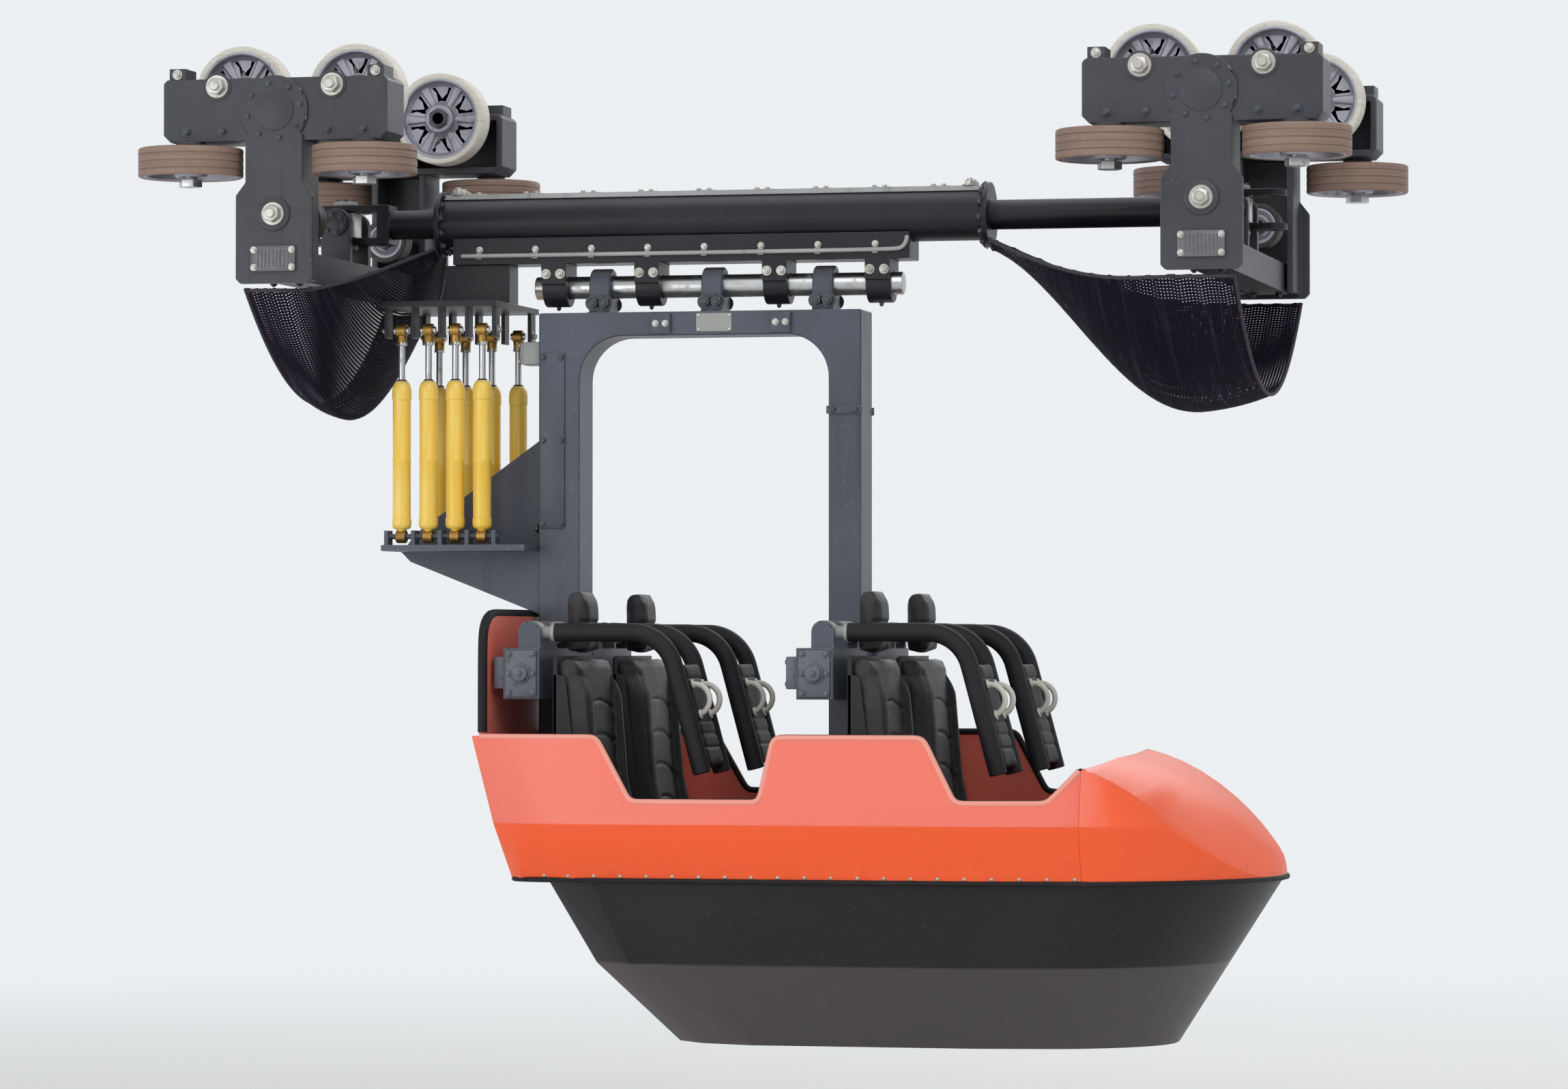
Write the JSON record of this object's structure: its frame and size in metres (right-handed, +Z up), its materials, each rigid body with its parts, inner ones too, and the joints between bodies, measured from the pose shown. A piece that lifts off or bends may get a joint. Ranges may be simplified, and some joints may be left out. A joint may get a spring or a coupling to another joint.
{
  "type": "suspended roller coaster car",
  "caption": "Suspended roller coaster car: wheel carriers for an overhead twin-tube track, chassis, damped swing frame and open hull with seats and overhead harnesses.",
  "frame": {"origin": "middle of the track at the height of the rail tops, halfway between the two wheel carriers", "axes": "+X forward along the track, +Y to the car's left, +Z up"},
  "size_m": [3.596, 1.66, 2.96],
  "materials": {
    "black_frame": "black paint over thick steel plate, dusty on upper faces",
    "grey_frame": "dark grey satin paint over welded steel",
    "bright_steel": "bright turned steel, greased and a little stained",
    "wheel_steel": "cast and turned light alloy with a dark tyre",
    "tan_tread": "worn tan polyurethane, darker where it runs",
    "orange_body": "orange gel coat on glass-fibre panels, slightly faded",
    "dark_hull": "charcoal brown gel coat",
    "aluminium_floor": "chequered plate floor",
    "seat_vinyl": "black padded vinyl with sewn channels",
    "black_foam": "black skinned foam over steel arms",
    "yellow_paint": "yellow enamel on the cylinders",
    "black_net": "black knotted net with a rope hem"
  },
  "bodies": {
    "chassis": {"chassis_tube": "grey_frame", "chassis_top_bar": "bright_steel", "bearing_beam": "black_frame", "damper_crosshead": "black_frame"},
    "swing": {"swing_shaft": "bright_steel", "swing_frame": "grey_frame", "damper_shelf": "grey_frame", "side_left": "orange_body", "side_right": "orange_body", "nose_cowl": "orange_body", "rear_panel": "orange_body", "lower_hull": "dark_hull", "floor_pan": "aluminium_floor", "seats_front": "seat_vinyl", "seats_rear": "seat_vinyl", "harness_bracket_front": "black_frame", "harness_bracket_rear": "black_frame"},
    "cylinders_left": {"damper_cylinders_left": "yellow_paint"},
    "rods_left": {"damper_rods_left": "bright_steel"},
    "cylinders_right": {"damper_cylinders_right": "yellow_paint"},
    "rods_right": {"damper_rods_right": "bright_steel"},
    "harness_front_left": {"harness_front_left": "black_foam"},
    "harness_front_right": {"harness_front_right": "black_foam"},
    "cross_front": {"carrier_cross_front": "bright_steel", "net_front": "black_net"},
    "carrier_front": {"side_frames_front": "black_frame", "yoke_front": "black_frame", "axles_front": "bright_steel"},
    "harness_rear_left": {"harness_rear_left": "black_foam"},
    "harness_rear_right": {"harness_rear_right": "black_foam"},
    "cross_rear": {"carrier_cross_rear": "bright_steel", "net_rear": "black_net"},
    "carrier_rear": {"side_frames_rear": "black_frame", "yoke_rear": "black_frame", "axles_rear": "bright_steel"},
    "road_wheel_front_left_1": {"road_wheel_front_left_1": "wheel_steel"},
    "guide_wheel_front_left_1": {"guide_wheel_front_left_1": "tan_tread"},
    "road_wheel_front_left_2": {"road_wheel_front_left_2": "wheel_steel"},
    "guide_wheel_front_left_2": {"guide_wheel_front_left_2": "tan_tread"},
    "upstop_wheel_front_left": {"upstop_wheel_front_left": "wheel_steel"},
    "road_wheel_front_right_1": {"road_wheel_front_right_1": "wheel_steel"},
    "guide_wheel_front_right_1": {"guide_wheel_front_right_1": "tan_tread"},
    "road_wheel_front_right_2": {"road_wheel_front_right_2": "wheel_steel"},
    "guide_wheel_front_right_2": {"guide_wheel_front_right_2": "tan_tread"},
    "upstop_wheel_front_right": {"upstop_wheel_front_right": "wheel_steel"},
    "road_wheel_rear_left_1": {"road_wheel_rear_left_1": "wheel_steel"},
    "guide_wheel_rear_left_1": {"guide_wheel_rear_left_1": "tan_tread"},
    "road_wheel_rear_left_2": {"road_wheel_rear_left_2": "wheel_steel"},
    "guide_wheel_rear_left_2": {"guide_wheel_rear_left_2": "tan_tread"},
    "upstop_wheel_rear_left": {"upstop_wheel_rear_left": "wheel_steel"},
    "road_wheel_rear_right_1": {"road_wheel_rear_right_1": "wheel_steel"},
    "guide_wheel_rear_right_1": {"guide_wheel_rear_right_1": "tan_tread"},
    "road_wheel_rear_right_2": {"road_wheel_rear_right_2": "wheel_steel"},
    "guide_wheel_rear_right_2": {"guide_wheel_rear_right_2": "tan_tread"},
    "upstop_wheel_rear_right": {"upstop_wheel_rear_right": "wheel_steel"}
  },
  "joints": [
    {"name": "swing", "type": "hinge", "parent": "chassis", "child": "swing", "pos_m": [0, 0, -0.42], "axis": [1, 0, 0], "range_deg": [-30, 30]},
    {"name": "damper_tilt_left", "type": "hinge", "parent": "swing", "child": "cylinders_left", "pos_m": [-1.01, 0.2, -1.175], "axis": [1, 0, 0], "range_deg": [-8, 8]},
    {"name": "damper_stroke_left", "type": "slide", "parent": "cylinders_left", "child": "rods_left", "axis": [0, 0, 1], "range_m": [-0.1, 0.1]},
    {"name": "damper_tilt_right", "type": "hinge", "parent": "swing", "child": "cylinders_right", "pos_m": [-1.01, -0.2, -1.175], "axis": [1, 0, 0], "range_deg": [-8, 8]},
    {"name": "damper_stroke_right", "type": "slide", "parent": "cylinders_right", "child": "rods_right", "axis": [0, 0, 1], "range_m": [-0.1, 0.1]},
    {"name": "harness_front_left_hinge", "type": "hinge", "parent": "swing", "child": "harness_front_left", "pos_m": [0.234, 0.345, -1.465], "axis": [0, -1, 0], "range_deg": [0, 75]},
    {"name": "harness_front_right_hinge", "type": "hinge", "parent": "swing", "child": "harness_front_right", "pos_m": [0.234, -0.345, -1.465], "axis": [0, -1, 0], "range_deg": [0, 75]},
    {"name": "harness_rear_left_hinge", "type": "hinge", "parent": "swing", "child": "harness_rear_left", "pos_m": [-0.648, 0.345, -1.465], "axis": [0, -1, 0], "range_deg": [0, 75]},
    {"name": "harness_rear_right_hinge", "type": "hinge", "parent": "swing", "child": "harness_rear_right", "pos_m": [-0.648, -0.345, -1.465], "axis": [0, -1, 0], "range_deg": [0, 75]},
    {"name": "carrier_yaw_front", "type": "hinge", "parent": "chassis", "child": "cross_front", "pos_m": [1.375, 0, -0.22], "axis": [0, 0, 1], "range_deg": [-10, 10], "deforming": ["net_front"]},
    {"name": "carrier_pitch_front", "type": "hinge", "parent": "cross_front", "child": "carrier_front", "pos_m": [1.375, 0, -0.22], "axis": [0, 1, 0], "range_deg": [-6, 6]},
    {"name": "carrier_yaw_rear", "type": "hinge", "parent": "chassis", "child": "cross_rear", "pos_m": [-1.375, 0, -0.22], "axis": [0, 0, 1], "range_deg": [-10, 10], "deforming": ["net_rear"]},
    {"name": "carrier_pitch_rear", "type": "hinge", "parent": "cross_rear", "child": "carrier_rear", "pos_m": [-1.375, 0, -0.22], "axis": [0, 1, 0], "range_deg": [-6, 6]},
    {"name": "road_wheel_front_left_1_spin", "type": "hinge", "parent": "carrier_front", "child": "road_wheel_front_left_1", "pos_m": [1.552, 0.44, 0.1425], "axis": [0, 1, 0], "continuous": true},
    {"name": "guide_wheel_front_left_1_spin", "type": "hinge", "parent": "carrier_front", "child": "guide_wheel_front_left_1", "pos_m": [1.643, 0.675, -0.08], "axis": [0, 0, 1], "continuous": true},
    {"name": "road_wheel_front_left_2_spin", "type": "hinge", "parent": "carrier_front", "child": "road_wheel_front_left_2", "pos_m": [1.198, 0.44, 0.1425], "axis": [0, 1, 0], "continuous": true},
    {"name": "guide_wheel_front_left_2_spin", "type": "hinge", "parent": "carrier_front", "child": "guide_wheel_front_left_2", "pos_m": [1.107, 0.675, -0.08], "axis": [0, 0, 1], "continuous": true},
    {"name": "upstop_wheel_front_left_spin", "type": "hinge", "parent": "carrier_front", "child": "upstop_wheel_front_left", "pos_m": [1.375, 0.44, -0.236], "axis": [0, 1, 0], "continuous": true},
    {"name": "road_wheel_front_right_1_spin", "type": "hinge", "parent": "carrier_front", "child": "road_wheel_front_right_1", "pos_m": [1.552, -0.44, 0.1425], "axis": [0, 1, 0], "continuous": true},
    {"name": "guide_wheel_front_right_1_spin", "type": "hinge", "parent": "carrier_front", "child": "guide_wheel_front_right_1", "pos_m": [1.643, -0.675, -0.08], "axis": [0, 0, 1], "continuous": true},
    {"name": "road_wheel_front_right_2_spin", "type": "hinge", "parent": "carrier_front", "child": "road_wheel_front_right_2", "pos_m": [1.198, -0.44, 0.1425], "axis": [0, 1, 0], "continuous": true},
    {"name": "guide_wheel_front_right_2_spin", "type": "hinge", "parent": "carrier_front", "child": "guide_wheel_front_right_2", "pos_m": [1.107, -0.675, -0.08], "axis": [0, 0, 1], "continuous": true},
    {"name": "upstop_wheel_front_right_spin", "type": "hinge", "parent": "carrier_front", "child": "upstop_wheel_front_right", "pos_m": [1.375, -0.44, -0.236], "axis": [0, 1, 0], "continuous": true},
    {"name": "road_wheel_rear_left_1_spin", "type": "hinge", "parent": "carrier_rear", "child": "road_wheel_rear_left_1", "pos_m": [-1.198, 0.44, 0.1425], "axis": [0, 1, 0], "continuous": true},
    {"name": "guide_wheel_rear_left_1_spin", "type": "hinge", "parent": "carrier_rear", "child": "guide_wheel_rear_left_1", "pos_m": [-1.107, 0.675, -0.08], "axis": [0, 0, 1], "continuous": true},
    {"name": "road_wheel_rear_left_2_spin", "type": "hinge", "parent": "carrier_rear", "child": "road_wheel_rear_left_2", "pos_m": [-1.552, 0.44, 0.1425], "axis": [0, 1, 0], "continuous": true},
    {"name": "guide_wheel_rear_left_2_spin", "type": "hinge", "parent": "carrier_rear", "child": "guide_wheel_rear_left_2", "pos_m": [-1.643, 0.675, -0.08], "axis": [0, 0, 1], "continuous": true},
    {"name": "upstop_wheel_rear_left_spin", "type": "hinge", "parent": "carrier_rear", "child": "upstop_wheel_rear_left", "pos_m": [-1.375, 0.44, -0.236], "axis": [0, 1, 0], "continuous": true},
    {"name": "road_wheel_rear_right_1_spin", "type": "hinge", "parent": "carrier_rear", "child": "road_wheel_rear_right_1", "pos_m": [-1.198, -0.44, 0.1425], "axis": [0, 1, 0], "continuous": true},
    {"name": "guide_wheel_rear_right_1_spin", "type": "hinge", "parent": "carrier_rear", "child": "guide_wheel_rear_right_1", "pos_m": [-1.107, -0.675, -0.08], "axis": [0, 0, 1], "continuous": true},
    {"name": "road_wheel_rear_right_2_spin", "type": "hinge", "parent": "carrier_rear", "child": "road_wheel_rear_right_2", "pos_m": [-1.552, -0.44, 0.1425], "axis": [0, 1, 0], "continuous": true},
    {"name": "guide_wheel_rear_right_2_spin", "type": "hinge", "parent": "carrier_rear", "child": "guide_wheel_rear_right_2", "pos_m": [-1.643, -0.675, -0.08], "axis": [0, 0, 1], "continuous": true},
    {"name": "upstop_wheel_rear_right_spin", "type": "hinge", "parent": "carrier_rear", "child": "upstop_wheel_rear_right", "pos_m": [-1.375, -0.44, -0.236], "axis": [0, 1, 0], "continuous": true}
  ],
  "couplings": [
    {"joint": "damper_tilt_left", "follows": "swing", "ratio": 0.2},
    {"joint": "damper_stroke_left", "follows": "swing", "m_per_rad": -0.185},
    {"joint": "damper_tilt_right", "follows": "swing", "ratio": 0.2},
    {"joint": "damper_stroke_right", "follows": "swing", "m_per_rad": 0.185}
  ]
}
